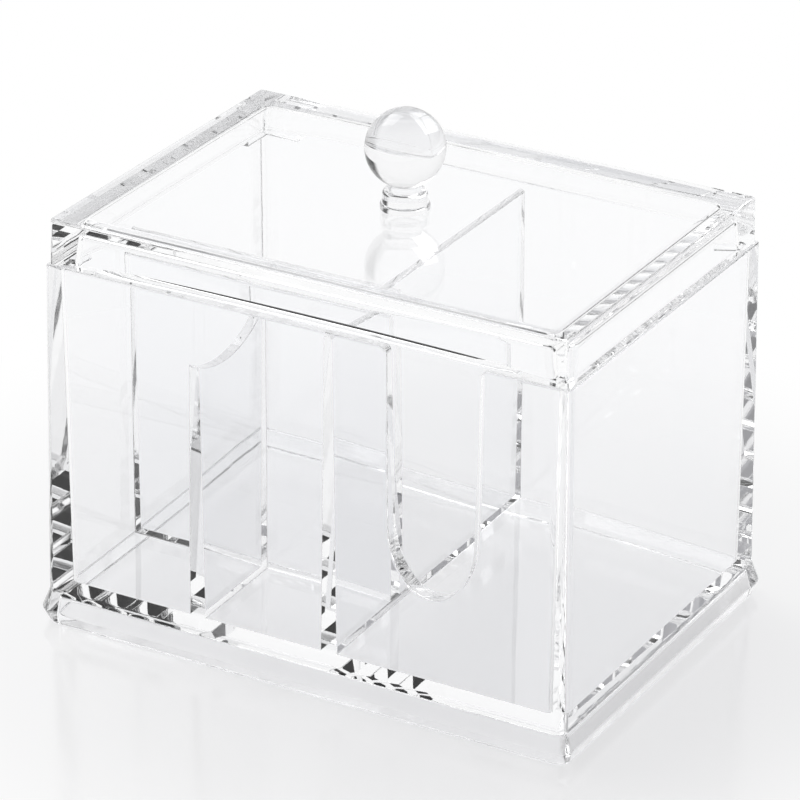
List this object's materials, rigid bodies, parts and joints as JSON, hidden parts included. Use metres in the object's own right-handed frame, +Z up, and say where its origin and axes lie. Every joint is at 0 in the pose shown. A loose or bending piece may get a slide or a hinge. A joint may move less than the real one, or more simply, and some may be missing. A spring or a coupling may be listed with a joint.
{
  "type": "lidded cotton pad and swab holder",
  "caption": "Clear lidded box for cotton pads, swabs and small cosmetics, with divided wells, a finger notch, a flared foot and a lift-off lid with a ball knob.",
  "frame": {"origin": "middle of the footprint, on the surface that the box stands on", "axes": "+X to the right along the long front side, +Y to the back, +Z up"},
  "size_m": [0.1464, 0.1044, 0.1313],
  "materials": {
    "clear_case": "clear moulded acrylic, polished",
    "clear_lid": "clear moulded acrylic, polished",
    "clear_knob": "clear turned acrylic, polished"
  },
  "bodies": {
    "case": {"case": "clear_case", "long_divider": "clear_case", "cross_divider": "clear_case", "scooped_divider": "clear_case"},
    "lid": {"lid": "clear_lid", "knob_collar": "clear_knob", "knob_ball": "clear_knob"}
  },
  "joints": [
    {"name": "lid_lift", "type": "slide", "parent": "case", "child": "lid", "axis": [0, 0, 1], "range_m": [0, 0.12]}
  ]
}
